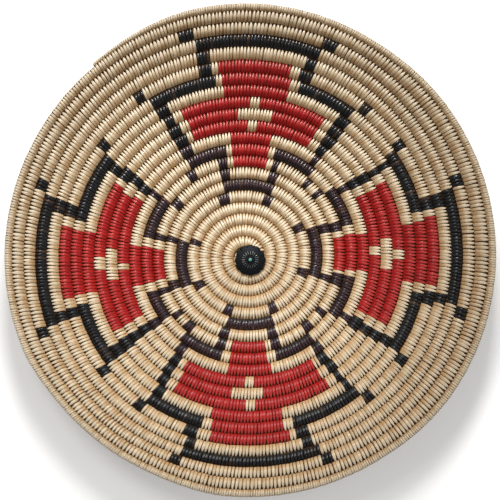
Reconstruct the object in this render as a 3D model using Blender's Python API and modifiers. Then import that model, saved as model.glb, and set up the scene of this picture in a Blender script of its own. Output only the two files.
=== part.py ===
"""Coiled straw tray basket with a screw-back concho at its centre. Metres, +Z up, standing on its flat foot."""

import math

import bmesh
import bpy
import numpy as np

MM = 0.001

# Coil: one grass bundle wound outwards, anticlockwise seen from above
PITCH = 9.3 * MM
ROW_GAP = 0.9 * MM
COIL_HALF_WIDTH = (PITCH - ROW_GAP) / 2
BEVEL_RESOLUTION = 1
SIDES = 2 * (BEVEL_RESOLUTION + 2)
POINTS_PER_TURN = 24
START_TURN = 0.5
END_TURN = 21.4
SEAM_DEGREES = 127.0
START_HALF_WIDTH = 1.8 * MM
TAIL_HALF_WIDTH = 1.2 * MM
START_TAPER_TURNS = 0.25
TAIL_TAPER_TURNS = 0.15
RIM_COIL_HALF_WIDTH = 2.6 * MM
RIM_COIL_TURNS = 1.1
RIM_EASE_TURNS = 0.3
OUTLINE_TURNS = 1.5

# Profile of the tray, measured along its slope from the centre
FOOT_START = 27.0 * MM
FOOT_END = 38.0 * MM
CENTRE_LIFT = 2.2 * MM
CENTRE_FLAT = 13.0 * MM
WALL_BLEND = 10.0 * MM
WALL_SLOPE = math.radians(10.3)
FLARE_START = 160.0 * MM
FLARE_BLEND = 14.0 * MM
FLARE_SLOPE = math.radians(18.0)
PROFILE_STEP = 0.05 * MM

# The base's ring stands on a few low places, and lies a little higher between them, as hand coiling leaves it
LOW_PLACES = 3
FIRST_LOW_PLACE = math.radians(270.0)
LOW_PLACE_HALF = math.radians(18.0)
LOW_PLACE_RAMP = math.radians(22.0)
RING_LIFT = 0.4 * MM

# Dyed stitching, worked as hollow wraps round a thinner stretch of the coil
WRAP_WALL = 0.8 * MM
WRAP_OVERLAP = 0.2 * MM
WRAP_HALF_WIDTH = (PITCH + WRAP_OVERLAP) / 2
WRAP_CLEARANCE = 0.3 * MM
NECK_SHOULDER = 0.3 * MM

# Pattern: rows counted from the centre, half-widths in degrees each side of a motif's axis
FIRST_ROW_TURN = 0.43
MOTIFS = {"east": (1.6, 1.0), "north": (87.6, 1.0), "west": (181.6, 1.07), "south": (271.5, 1.1)}
CROSS_ROWS = {8: 9.8, 9: 10.0, 10: 10.3, 11: 26.6, 12: 27.0, 13: 27.4, 14: 11.0, 15: 11.3, 16: 11.6}
AUBERGINE_BAND = (6, 18.5)
BLACK_BAND = (18, 16.8)
AUBERGINE_BAR = (9, 12.4, 34.0)
BLACK_BAR = (15, 14.0, 34.2)

# Concho, held by a slotted screw from the back
CONCHO_DIAMETER = 24.6 * MM
CONCHO_SHEET = 0.8 * MM
CONCHO_DOME = 2.6 * MM
CONCHO_LAND_RADIUS = 2.8 * MM
CONCHO_RINGS = 4
CONCHO_OFFSET = (3.2 * MM, -2.5 * MM)
SCALLOPS = 12
SCALLOP_DEPTH = 0.55 * MM
SCALLOP_STEPS = 6
SCALLOP_BAND = 3.0 * MM
SEAT_GAP = 0.3 * MM
STONE_RADIUS = 1.65 * MM
STONE_HEIGHT = 1.3 * MM
STONE_GIRDLE = 0.4 * MM
STONE_STEPS = 4
BEZEL_WALL = 0.4 * MM
BEZEL_HEIGHT = 0.7 * MM
POST_WALL = 0.5 * MM
POST_TOP_WALL = 1.0 * MM
POST_END_GAP = 0.6 * MM
SCREW_SHANK_RADIUS = 1.5 * MM
SCREW_SHANK_LENGTH = 6.0 * MM
SCREW_RUNNING_GAP = 0.3 * MM
SCREW_HEAD_RADIUS = 7.0 * MM
SCREW_HEAD_THICKNESS = 1.2 * MM
SCREW_HEAD_CHAMFER = 0.4 * MM
SLOT_WIDTH = 1.2 * MM
SLOT_DEPTH = 0.6 * MM
CUT_OVERRUN = 1.0 * MM
TURNED_STEPS = 32
MERGE = 0.01 * MM

FLAT_SHARE = math.cos(math.pi / SIDES)
COIL_HALF_HEIGHT = COIL_HALF_WIDTH * FLAT_SHARE
NECK_HALF_WIDTH = WRAP_HALF_WIDTH - (WRAP_WALL + WRAP_CLEARANCE) / FLAT_SHARE
POST_BORE_RADIUS = SCREW_SHANK_RADIUS + SCREW_RUNNING_GAP
POST_RADIUS = POST_BORE_RADIUS + POST_WALL


def ease(values, start, end):
    """A smooth step from 0 at start to 1 at end."""
    share = np.clip((np.asarray(values, float) - start) / (end - start), 0, 1)
    return share * share * (3 - 2 * share)


def slope_of(along):
    """The tray's own slope at a distance along its profile, without the drawn-up centre."""
    wall = WALL_SLOPE * ease(along, FOOT_END, FOOT_END + WALL_BLEND)
    flare = (FLARE_SLOPE - WALL_SLOPE) * ease(along, FLARE_START, FLARE_START + FLARE_BLEND)
    return wall + flare


def profile_tables():
    """Distances along the profile with the radius and height of the coil's centre line there."""
    along = np.arange(0, PITCH * (END_TURN + 1), PROFILE_STEP)
    slope = slope_of(along)
    radius = np.cumsum(np.cos(slope)) * PROFILE_STEP - PROFILE_STEP
    rise = np.cumsum(np.sin(slope)) * PROFILE_STEP
    lift = CENTRE_LIFT * (1 - ease(along, CENTRE_FLAT, FOOT_START))
    return along, radius, COIL_HALF_HEIGHT + rise + lift


ALONG, RADIUS, HEIGHT = profile_tables()


def ring_lift(along, angle):
    """How much higher than its low places the coil lies at an angle, fading out under the concho."""
    step = 2 * math.pi / LOW_PLACES
    apart = abs((angle - FIRST_LOW_PLACE + step / 2) % step - step / 2)
    share = ease(apart, LOW_PLACE_HALF, LOW_PLACE_HALF + LOW_PLACE_RAMP) * ease(along, CENTRE_FLAT, FOOT_START)
    return RING_LIFT * float(share)


def beside_post(turn):
    """The half-width that clears the concho's post, where the innermost turn is squeezed aside by it."""
    return math.dist(grid_point(turn)[:2], CONCHO_OFFSET) - POST_RADIUS - SEAT_GAP


def half_width(turn):
    """Half the coil's width at a turn number: tapered ends, and a thinner coil for the rim."""
    start = START_HALF_WIDTH + (COIL_HALF_WIDTH - START_HALF_WIDTH) * ease(
        turn, START_TURN, START_TURN + START_TAPER_TURNS
    )
    rim_start = END_TURN - RIM_COIL_TURNS
    thinning = (COIL_HALF_WIDTH - RIM_COIL_HALF_WIDTH) * ease(turn, rim_start, rim_start + RIM_EASE_TURNS)
    tail = (RIM_COIL_HALF_WIDTH - TAIL_HALF_WIDTH) * ease(turn, END_TURN - TAIL_TAPER_TURNS, END_TURN)
    return min(float(start - thinning - tail), beside_post(turn))


def grid_point(turn):
    """The coil's centre line at a turn number, on the smooth spiral."""
    rim_start = END_TURN - RIM_COIL_TURNS
    drawn_in = (COIL_HALF_WIDTH - RIM_COIL_HALF_WIDTH) * ease(turn, rim_start, rim_start + RIM_EASE_TURNS)
    along = PITCH * turn - drawn_in
    angle = math.radians(SEAM_DEGREES) + 2 * math.pi * (turn - FIRST_ROW_TURN)
    radius = np.interp(along, ALONG, RADIUS)
    height = np.interp(along, ALONG, HEIGHT) + ring_lift(along, angle)
    return np.array([radius * math.cos(angle), radius * math.sin(angle), height])


def chord_point(turn):
    """The centre line as laid: straight between grid points, so that neighbouring rows nest."""
    step = turn * POINTS_PER_TURN
    low = math.floor(step + 1e-9)
    share = step - low
    return (1 - share) * grid_point(low / POINTS_PER_TURN) + share * grid_point((low + 1) / POINTS_PER_TURN)


def tilt_at(turn):
    """The coil's tilt that turns its section square to the tray, level until its flat has left the foot."""
    along = PITCH * turn
    if along < FOOT_START:
        along = min(along + COIL_HALF_WIDTH, FOOT_START)
    elif along > FOOT_END:
        along = max(along - COIL_HALF_WIDTH / 2, FOOT_END)
    rise = np.interp(along + PROFILE_STEP, ALONG, HEIGHT) - np.interp(along - PROFILE_STEP, ALONG, HEIGHT)
    run = np.interp(along + PROFILE_STEP, ALONG, RADIUS) - np.interp(along - PROFILE_STEP, ALONG, RADIUS)
    return -math.atan2(rise, run)


def turn_of(row, degrees):
    """The turn number where a row crosses an angle."""
    return row - 1 + FIRST_ROW_TURN + ((degrees - SEAM_DEGREES) % 360) / 360


def turns_between(first, last):
    """A stretch's two ends and the grid's turns between them."""
    inner = [
        step / POINTS_PER_TURN
        for step in range(math.ceil(first * POINTS_PER_TURN), math.floor(last * POINTS_PER_TURN) + 1)
    ]
    return [first] + [turn for turn in inner if first < turn < last] + [last]


def circumference(turn):
    return 2 * math.pi * np.interp(PITCH * turn, ALONG, RADIUS)


def clear_of_corner(turn):
    """The turn, moved along the coil where needed so that an end stays clear of the grid's nearest corner."""
    room = WRAP_CLEARANCE + NECK_SHOULDER + WRAP_HALF_WIDTH * math.tan(math.pi / POINTS_PER_TURN)
    keep = room / circumference(turn)
    corner = round(turn * POINTS_PER_TURN) / POINTS_PER_TURN
    if abs(turn - corner) >= keep:
        return turn
    return corner + math.copysign(keep, turn - corner)


def material(name, colour, roughness, metallic):
    made = bpy.data.materials.new(name)
    made.use_nodes = True
    shader = made.node_tree.nodes["Principled BSDF"]
    shader.inputs["Base Color"].default_value = (*colour, 1)
    shader.inputs["Roughness"].default_value = roughness
    shader.inputs["Metallic"].default_value = metallic
    return made


def place(name, data, collection, finish):
    """An object for this data, with its finish, in a collection."""
    made = bpy.data.objects.new(name, data)
    made.data.materials.append(finish)
    collection.objects.link(made)
    return made


def coil_curve(name, turns, widths, caps):
    """A six-sided tube along the spiral, with its flats square to the tray's surface."""
    curve = bpy.data.curves.new(name, "CURVE")
    curve.dimensions = "3D"
    curve.twist_mode = "Z_UP"
    curve.bevel_depth = COIL_HALF_WIDTH
    curve.bevel_resolution = BEVEL_RESOLUTION
    curve.use_fill_caps = caps
    spline = curve.splines.new("POLY")
    spline.points.add(len(turns) - 1)
    for point, turn, width in zip(spline.points, turns, widths):
        point.co = (*(chord_point(turn) - CENTRE), 1)
        point.radius = width / COIL_HALF_WIDTH
        point.tilt = tilt_at(turn)
    return curve


def stretch(side, row, low, high):
    """The first and last turn of a row's dyed stretch, given in degrees from the motif's axis."""
    axis, spread = MOTIFS[side]
    return tuple(clear_of_corner(turn_of(row, axis + degrees * spread)) for degrees in (low, high))


def dyed_fields():
    """Each dyed field as its name, its finish and the stretches that it covers."""
    fields = []
    for side in MOTIFS:
        cross = [stretch(side, row, -half, half) for row, half in CROSS_ROWS.items()]
        fields.append((f"red_cross_{side}", "red", cross))
        for kind, (row, half) in (("aubergine", AUBERGINE_BAND), ("black", BLACK_BAND)):
            fields.append((f"{kind}_band_{side}", kind, [stretch(side, row, -half, half)]))
        for kind, (row, low, high) in (("aubergine", AUBERGINE_BAR), ("black", BLACK_BAR)):
            fields.append((f"{kind}_bar_{side}_right", kind, [stretch(side, row, -high, -low)]))
            fields.append((f"{kind}_bar_{side}_left", kind, [stretch(side, row, low, high)]))
    return fields


def neck_turns(stretches):
    """The turns where the coil narrows and widens again, for every dyed stretch."""
    marks = []
    for first, last in sorted(stretches):
        clear = WRAP_CLEARANCE / circumference(first)
        shoulder = NECK_SHOULDER / circumference(first)
        marks.append((first - clear - shoulder, first - clear, last + clear, last + clear + shoulder))
    return marks


def straw_coil(fields, collection, finish):
    """The whole spiral in one unbroken tube, necked down wherever dyed stitching goes round it."""
    necks = neck_turns([stretch for _, _, stretches in fields for stretch in stretches])
    turns = []
    widths = []
    reached = START_TURN
    for low_shoulder, low, high, high_shoulder in necks:
        plain = turns_between(reached, low_shoulder)
        turns += plain
        widths += [half_width(turn) for turn in plain]
        necked = turns_between(low, high)
        turns += necked
        widths += [NECK_HALF_WIDTH] * len(necked)
        reached = high_shoulder
    plain = turns_between(reached, END_TURN)
    turns += plain
    widths += [half_width(turn) for turn in plain]
    report_gap()
    curve = coil_curve("straw_coil", turns, widths, caps=True)
    return place("straw_coil", curve, collection, finish)


def report_gap():
    """Prints the least gap between one row of the coil and the next, measured on points."""
    gaps = []
    for step in range(int(START_TURN * POINTS_PER_TURN * 2), int((END_TURN - 1) * POINTS_PER_TURN * 2)):
        turn = step / (POINTS_PER_TURN * 2)
        apart = np.linalg.norm(chord_point(turn + 1) - chord_point(turn))
        gaps.append(apart - half_width(turn) - half_width(turn + 1))
    print(f"least gap of the coil to itself: {min(gaps) / MM:.2f} mm")


def wrap(name, ends, collection, finish):
    """One row's dyed stitching: a hollow tube round the coil, open at both ends."""
    turns = turns_between(*ends)
    curve = coil_curve(name, turns, [WRAP_HALF_WIDTH] * len(turns), caps=False)
    guide = bpy.data.objects.new(name, curve)
    collection.objects.link(guide)
    graph = bpy.context.evaluated_depsgraph_get()
    mesh = bpy.data.meshes.new_from_object(guide.evaluated_get(graph))
    mesh.name = name
    bpy.data.objects.remove(guide)
    made = place(name, mesh, collection, finish)
    shell = made.modifiers.new("Wall", "SOLIDIFY")
    shell.thickness = WRAP_WALL
    shell.offset = -1
    shell.use_even_offset = True
    return made


def dyed_field(name, stretches, collection, helpers, finish):
    """A dyed field: one wrap, or several rows of wraps joined where their sides meet."""
    made = wrap(name, stretches[0], collection, finish)
    if len(stretches) == 1:
        return made
    rows = bpy.data.collections.new(f"{name}_rows")
    helpers.children.link(rows)
    for number, ends in enumerate(stretches[1:], 2):
        row = wrap(f"{name}_row_{number}", ends, rows, finish)
        row.hide_render = True
        row.display_type = "WIRE"
    joined = made.modifiers.new("Rows", "BOOLEAN")
    joined.operation = "UNION"
    joined.operand_type = "COLLECTION"
    joined.collection = rows
    return made


def turned(name, profile, height, collection, finish, closed=False):
    """A turned piece about the concho's axis: a profile of radii and heights, run down its outer side."""
    mesh = bpy.data.meshes.new(name)
    edges = [(i, i + 1) for i in range(len(profile) - 1)]
    if closed:
        edges.append((len(profile) - 1, 0))
    mesh.from_pydata([(radius, 0, z) for radius, z in profile], edges, [])
    made = place(name, mesh, collection, finish)
    made.location = (*CONCHO_PLACE, height)
    spin = made.modifiers.new("Turn", "SCREW")
    spin.steps = TURNED_STEPS
    spin.render_steps = TURNED_STEPS
    spin.use_merge_vertices = True
    spin.merge_threshold = MERGE
    spin.use_smooth_shade = True
    return made


def dome_height(radius):
    """Height of the concho's top above its rim at a radius."""
    outer = max(radius - CONCHO_LAND_RADIUS, 0) / (CONCHO_DIAMETER / 2 - CONCHO_LAND_RADIUS)
    return CONCHO_DOME * math.cos(outer * math.pi / 2) ** 0.8 if outer < 1 else 0.0


def concho(seat, collection, finish):
    """The domed silver shell with its scalloped edge."""
    rim = CONCHO_DIAMETER / 2
    radii = [0, CONCHO_LAND_RADIUS]
    for ring in range(1, CONCHO_RINGS + 1):
        radii.append(CONCHO_LAND_RADIUS + (rim - CONCHO_LAND_RADIUS) * ring / CONCHO_RINGS)
    bm = bmesh.new()
    corners = [bm.verts.new((radius, 0, dome_height(radius))) for radius in radii]
    for first, second in zip(corners, corners[1:]):
        bm.edges.new((first, second))
    steps = SCALLOPS * SCALLOP_STEPS
    bmesh.ops.spin(bm, geom=bm.verts[:] + bm.edges[:], cent=(0, 0, 0), axis=(0, 0, 1),
                   angle=2 * math.pi, steps=steps, use_merge=True)
    bmesh.ops.remove_doubles(bm, verts=bm.verts[:], dist=MERGE)
    for vert in bm.verts:
        radius = math.hypot(vert.co.x, vert.co.y)
        near_rim = max(0, 1 - (rim - radius) / SCALLOP_BAND)
        wave = 1 - abs(math.cos(math.atan2(vert.co.y, vert.co.x) * SCALLOPS / 2))
        if near_rim > 0:
            share = 1 - SCALLOP_DEPTH * near_rim * wave / radius
            vert.co.x *= share
            vert.co.y *= share
    bmesh.ops.recalc_face_normals(bm, faces=bm.faces[:])
    if sum(face.normal.z for face in bm.faces) < 0:
        bmesh.ops.reverse_faces(bm, faces=bm.faces[:])
    mesh = bpy.data.meshes.new("concho")
    bm.to_mesh(mesh)
    bm.free()
    mesh.shade_smooth()
    made = place("concho", mesh, collection, finish)
    made.location = (*CONCHO_PLACE, seat)
    sheet = made.modifiers.new("Sheet", "SOLIDIFY")
    sheet.thickness = CONCHO_SHEET
    sheet.offset = -1
    return made


def turquoise(height, collection, finish):
    """The small round stone: a straight girdle under a low dome."""
    crown = STONE_HEIGHT - STONE_GIRDLE
    profile = [
        (STONE_RADIUS * math.sin(share * math.pi / 2), STONE_GIRDLE + crown * math.cos(share * math.pi / 2))
        for share in (step / STONE_STEPS for step in range(STONE_STEPS + 1))
    ]
    profile[0] = (0, STONE_HEIGHT)
    return turned("turquoise_cabochon", profile + [(STONE_RADIUS, 0), (0, 0)], height, collection, finish)


def bezel(height, collection, finish):
    inner = STONE_RADIUS + SEAT_GAP
    outer = inner + BEZEL_WALL
    profile = [(inner, BEZEL_HEIGHT), (outer, BEZEL_HEIGHT), (outer, 0), (inner, 0)]
    return turned("concho_bezel", profile, height, collection, finish, closed=True)


def concho_post(bottom, top, collection, finish):
    """The threaded barrel under the concho, drawn with a plain bore."""
    length = top - bottom
    ceiling = length - POST_TOP_WALL
    outside = [(0, length), (POST_RADIUS, length), (POST_RADIUS, 0)]
    profile = outside + [(POST_BORE_RADIUS, 0), (POST_BORE_RADIUS, ceiling), (0, ceiling)]
    return turned("concho_post", profile, bottom, collection, finish)


def back_screw(head_top, collection, cutters, finish):
    """The broad slotted screw that draws the concho down from behind."""
    bottom = -SCREW_HEAD_THICKNESS
    profile = [
        (0, SCREW_SHANK_LENGTH),
        (SCREW_SHANK_RADIUS, SCREW_SHANK_LENGTH),
        (SCREW_SHANK_RADIUS, 0),
        (SCREW_HEAD_RADIUS, 0),
        (SCREW_HEAD_RADIUS, bottom + SCREW_HEAD_CHAMFER),
        (SCREW_HEAD_RADIUS - SCREW_HEAD_CHAMFER, bottom),
        (0, bottom),
    ]
    made = turned("back_screw", profile, head_top, collection, finish)
    bm = bmesh.new()
    bmesh.ops.create_cube(bm, size=1)
    length = 2 * (SCREW_HEAD_RADIUS + CUT_OVERRUN)
    bmesh.ops.scale(bm, vec=(length, SLOT_WIDTH, SLOT_DEPTH + CUT_OVERRUN), verts=bm.verts)
    mesh = bpy.data.meshes.new("screw_slot")
    bm.to_mesh(mesh)
    bm.free()
    slot = place("screw_slot", mesh, cutters, finish)
    slot.location = (*CONCHO_PLACE, head_top + bottom + (SLOT_DEPTH - CUT_OVERRUN) / 2)
    slot.hide_render = True
    slot.display_type = "WIRE"
    cut = made.modifiers.new("Slot", "BOOLEAN")
    cut.operation = "DIFFERENCE"
    cut.object = slot
    return made


def plan_centre():
    """The middle of the coil's outline seen from above, where the part's origin stands."""
    steps = range(int((END_TURN - OUTLINE_TURNS) * POINTS_PER_TURN), int(END_TURN * POINTS_PER_TURN) + 1)
    low = np.full(2, np.inf)
    high = -low
    for step in steps:
        turn = step / POINTS_PER_TURN
        point = grid_point(turn)[:2]
        reach = point * (1 + half_width(turn) * math.cos(tilt_at(turn)) / np.linalg.norm(point))
        low = np.minimum(low, reach)
        high = np.maximum(high, reach)
    return np.array([*(low + high) / 2, 0])


CENTRE = plan_centre()
CONCHO_PLACE = (CONCHO_OFFSET[0] - CENTRE[0], CONCHO_OFFSET[1] - CENTRE[1])


def main():
    for obj in list(bpy.data.objects):
        bpy.data.objects.remove(obj)
    basket = bpy.data.collections.new("basket")
    helpers = bpy.data.collections.new("basket_cutters")
    bpy.context.scene.collection.children.link(basket)
    bpy.context.scene.collection.children.link(helpers)
    finishes = {
        "straw": material("straw", (0.60, 0.43, 0.24), 0.5, 0),
        "red": material("red", (0.42, 0.014, 0.018), 0.45, 0),
        "black": material("black", (0.011, 0.012, 0.014), 0.4, 0),
        "aubergine": material("aubergine", (0.024, 0.011, 0.012), 0.4, 0),
        "oxidised_silver": material("oxidised_silver", (0.02, 0.021, 0.023), 0.35, 1),
        "turquoise": material("turquoise", (0.10, 0.42, 0.33), 0.3, 0),
        "steel": material("steel", (0.45, 0.45, 0.44), 0.35, 1),
    }
    fields = dyed_fields()
    straw_coil(fields, basket, finishes["straw"])
    for name, kind, stretches in fields:
        dyed_field(name, stretches, basket, helpers, finishes[kind])
    seat = CENTRE_LIFT + 2 * COIL_HALF_HEIGHT + SEAT_GAP + CONCHO_SHEET
    top = seat + CONCHO_DOME
    head_top = CENTRE_LIFT - SEAT_GAP
    concho(seat, basket, finishes["oxidised_silver"])
    bezel(top + SEAT_GAP, basket, finishes["oxidised_silver"])
    turquoise(top + SEAT_GAP, basket, finishes["turquoise"])
    concho_post(head_top + POST_END_GAP, top - CONCHO_SHEET - SEAT_GAP, basket, finishes["steel"])
    back_screw(head_top, basket, helpers, finishes["steel"])


main()
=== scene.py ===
"""Dresses the coiled tray basket: the stitches of its wrapping, the bundle under them and the concho.

The coil is laid as in the part's source, but with its outer rows a little out of round. Each dyed field
takes the place of its plain wrap.
"""

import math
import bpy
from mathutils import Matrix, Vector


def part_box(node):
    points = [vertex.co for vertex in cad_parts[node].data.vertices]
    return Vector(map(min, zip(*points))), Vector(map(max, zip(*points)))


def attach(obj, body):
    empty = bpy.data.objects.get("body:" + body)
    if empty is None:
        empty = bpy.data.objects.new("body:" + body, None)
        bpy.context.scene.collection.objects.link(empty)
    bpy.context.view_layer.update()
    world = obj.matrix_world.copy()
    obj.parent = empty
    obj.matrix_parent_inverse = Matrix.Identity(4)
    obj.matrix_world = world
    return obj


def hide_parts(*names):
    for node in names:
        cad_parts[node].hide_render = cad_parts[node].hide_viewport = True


bl_info = {
    "name": "Coiled Tray Basket",
    "version": (1, 0, 0),
    "blender": (4, 5, 0),
    "location": "3D View > Sidebar > Basket",
    "description": "Stitches, bundle, concho and stage for the coiled tray basket",
    "category": "Object",
}

import bmesh
import bpy
import numpy as np
from bpy.props import FloatProperty, FloatVectorProperty, IntProperty, PointerProperty
from mathutils import Vector

MM = 0.001
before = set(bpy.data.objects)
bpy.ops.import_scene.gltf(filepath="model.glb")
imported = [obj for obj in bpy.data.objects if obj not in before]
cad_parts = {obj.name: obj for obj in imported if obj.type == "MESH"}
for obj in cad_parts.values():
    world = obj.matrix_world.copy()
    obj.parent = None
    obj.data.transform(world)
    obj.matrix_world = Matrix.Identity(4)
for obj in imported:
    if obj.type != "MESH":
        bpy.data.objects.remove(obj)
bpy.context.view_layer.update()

# The coil's spiral, as in the part's source
PITCH = 9.3 * MM
COIL_HALF_WIDTH = 4.2 * MM
COIL_HALF_HEIGHT = COIL_HALF_WIDTH * math.cos(math.pi / 6)
START_TURN = 0.5
SEAM_DEGREES = 127.0
START_HALF_WIDTH = 1.8 * MM
TAIL_HALF_WIDTH = 1.2 * MM
START_TAPER_TURNS = 0.25
RIM_COIL_HALF_WIDTH = 2.6 * MM
RIM_START = 20.3
RIM_EASE_TURNS = 0.3
FIRST_ROW_TURN = 0.43
FOOT_START = 27.0 * MM
FOOT_END = 38.0 * MM
CENTRE_LIFT = 2.2 * MM
CENTRE_FLAT = 13.0 * MM
WALL_BLEND = 10.0 * MM
WALL_SLOPE = math.radians(10.3)
FLARE_START = 160.0 * MM
FLARE_BLEND = 14.0 * MM
FLARE_SLOPE = math.radians(18.0)
PROFILE_STEP = 0.05 * MM
LOW_PLACES = 3
FIRST_LOW_PLACE = math.radians(270.0)
LOW_PLACE_HALF = math.radians(18.0)
LOW_PLACE_RAMP = math.radians(22.0)
RING_LIFT = 0.4 * MM
POLE = (-2.196 * MM, -1.822 * MM)
CONCHO_PLACE = (1.004 * MM, -4.322 * MM)
POST_ROOM = 2.6 * MM

# Where the coil is laid otherwise than in the source: a later and blunter tail, a rim drawn against the row
# inside it, and outer rows that drift towards the top, swell to the right and are drawn in at the lower left.
# Each pair of turns or cosines is where a shift begins and where it is whole.
END_TURN = 21.44
TAIL_TAPER_TURNS = 0.08
RIM_TUCK = 0.35 * MM
DRIFT = 2.0 * MM
NORTH_DRIFT = 1.2 * MM
DRIFT_TURNS = (15.0, 19.3)
EAST_SWELL = 2.0 * MM
SWELL_TURNS = (19.2, 20.5)
SWELL_COSINES = (0.5, 0.85)
PINCH = 3.2 * MM
PINCH_DEGREES = 234.0
PINCH_TURNS = (17.0, 21.0)
PINCH_COSINES = (0.86, 1.0)

# How far the coil's tapering ends are drawn aside
START_ASIDE = 4.9 * MM
TAIL_ASIDE = 4.7 * MM

# One stitch round the coil: where its stations lie across the coil and above its middle, its width there,
# the depth of the groove beside it, and how far it is rubbed, which also sets painted shade on its foot and a
# painted highlight on its crest
STITCH_ACROSS = (-4.75, -4.72, -4.20, -2.60, -1.20, 0.20, 1.50, 3.10, 4.40, 5.00, 4.60, 3.00, 0.00, -3.00)
CENTRE_LIFTS = (-0.60, 1.60, 2.25, 3.15, 3.60, 3.62, 3.22, 2.35, 1.55, 1.00, -1.10, -3.00, -3.64, -3.00)
WALL_LIFTS = (-0.60, 1.30, 1.90, 2.82, 3.42, 3.64, 3.42, 2.66, 1.75, 1.10, -1.10, -3.00, -3.64, -3.00)
WALL_STITCH_TURNS = (8.0, 11.0)
CENTRE_WIDTH_SHARES = (1.0, 1.0, 1.0, 1.0, 1.0, 0.98, 0.91, 0.74, 0.54, 0.38, 0.32, 0.70, 1.0, 1.0)
WALL_WIDTH_SHARES = (1.0, 1.0, 1.0, 1.0, 1.0, 1.00, 0.97, 0.80, 0.54, 0.36, 0.30, 0.70, 1.0, 1.0)
GROOVE_SHARES = (1.0, 0.45, 0.30, 0.28, 0.35, 0.55, 0.9, 1.2, 1.2, 1.0, 1.0, 1.0, 1.0, 1.0)
CENTRE_WEAR_AND_LIGHT_SHARES = (0.0, 0.14, 0.24, 0.38, 0.62, 0.85, 0.84, 0.58, 0.40, 0.28, 0.2, 0.2, 0.2, 0.1)
WALL_WEAR_AND_LIGHT_SHARES = (0.0, 0.14, 0.24, 0.32, 0.42, 0.60, 0.80, 0.92, 0.85, 0.55, 0.2, 0.2, 0.2, 0.1)
CENTRE_TURNS = (4.0, 7.0)
CENTRE_GROOVE_SHARE = 0.6
BORDER_TURNS = (17.0, 18.5)
RIM_GROOVE_SHARE = 0.45
STATIONS = len(STITCH_ACROSS)
STITCH_SECTION = ((-1.0, -1.0), (-0.62, -0.12), (0.0, 0.0), (0.62, -0.12), (1.0, -1.0))
RING = 4.0
BLANK_STEP = 10.0
BLANK_MERGE = 1e-4
FOOT_DEPTH = -0.5

# Turns left bare before the first stitch and after the last
FIRST_STITCH_TURNS = 0.04
LAST_STITCH_TURNS = 0.004

# Where the coil is thinner than this share of its width, its stitches aren't notched, and over the range
# above it the notch grows to its full depth
NOTCH_START_SHARE = 0.45
NOTCH_RANGE_SHARE = 0.5
TIP_REACH = 4.6 * MM

# Half a stitch's width as a share of its spacing, and how far the width, the place and the lean wander
HALF_WIDTH_SHARE = 0.515
WIDTH_PLAY_SHARE = 0.06
PLACE_PLAY_SHARE = 0.07
LEAN_PLAY = 0.03

# How far one stitch's streaks may lie from the next one's in the texture, in metres across and along it
STREAK_PLAY = (0.3, 0.7)

# Bundle: its grid, and the turns that it falls short at the start and in all. The middle and half-sizes of
# its section and the radius that its texture is laid at are in millimetres.
BUNDLE_STEPS_PER_TURN = 60
BUNDLE_SIDES = 8
BUNDLE_START_TURNS = 0.02
BUNDLE_SHORT_TURNS = 0.03
BUNDLE_MIDDLE = -0.50
BUNDLE_HALF_WIDTH = 5.10
BUNDLE_HALF_HEIGHT = 2.4
STEM_METRES_PER_TURN = 0.6
STEM_RADIUS = 3.4

# Stitch spacing along the coil at some turns, in millimetres
SPACING_TURNS = (1.0, 4.0, 7.0, 13.0, 17.0, 18.4, 19.0, 20.3, 20.6, 21.4)
SPACINGS = (2.1, 2.2, 2.4, 2.5, 2.65, 2.7, 2.95, 3.05, 1.9, 1.9)

# Pattern: each motif's axis about the coil's pole, and its stretches in each row, in degrees from that axis
AXES = {"east": 1.6, "north": 87.6, "west": 181.6, "south": 271.5}
CROSSES = {
    "east": {
        8: ((-9.5, 10),), 9: ((-9, 10),), 10: ((-9, 10),),
        11: ((-27, -1.5), (2.5, 26.5)), 12: ((-28, -7.5), (6, 26)), 13: ((-28, -2.5), (1, 27)),
        14: ((-11.5, 9),), 15: ((-11, 9.5),), 16: ((-10.5, 10),),
    },
    "north": {
        8: ((-9, 10),), 9: ((-9.5, 10.5),), 10: ((-10, 9.5),),
        11: ((-27, -2.5), (1.5, 26)), 12: ((-26.5, -7.5), (5.5, 26)), 13: ((-27.5, -3), (0.5, 27)),
        14: ((-12, 10),), 15: ((-12, 10),), 16: ((-11.5, 10.5),),
    },
    "west": {
        8: ((-7, 13),), 9: ((-7, 14),), 10: ((-7, 13.5),),
        11: ((-29.5, 1.5), (5.5, 28)), 12: ((-29, -5), (9, 28.5)), 13: ((-30.5, -0.5), (3.5, 29)),
        14: ((-10, 12),), 15: ((-10, 12),), 16: ((-10.5, 12),),
    },
    "south": {
        8: ((-10, 9.5),), 9: ((-10, 10),), 10: ((-11, 10.5),),
        11: ((-30, -2.5), (1.5, 30)), 12: ((-29.5, -7), (5.5, 30.5)), 13: ((-30, -1.5), (2, 30.5)),
        14: ((-13.5, 11),), 15: ((-13, 11),), 16: ((-13, 11.5),),
    },
}
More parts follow.
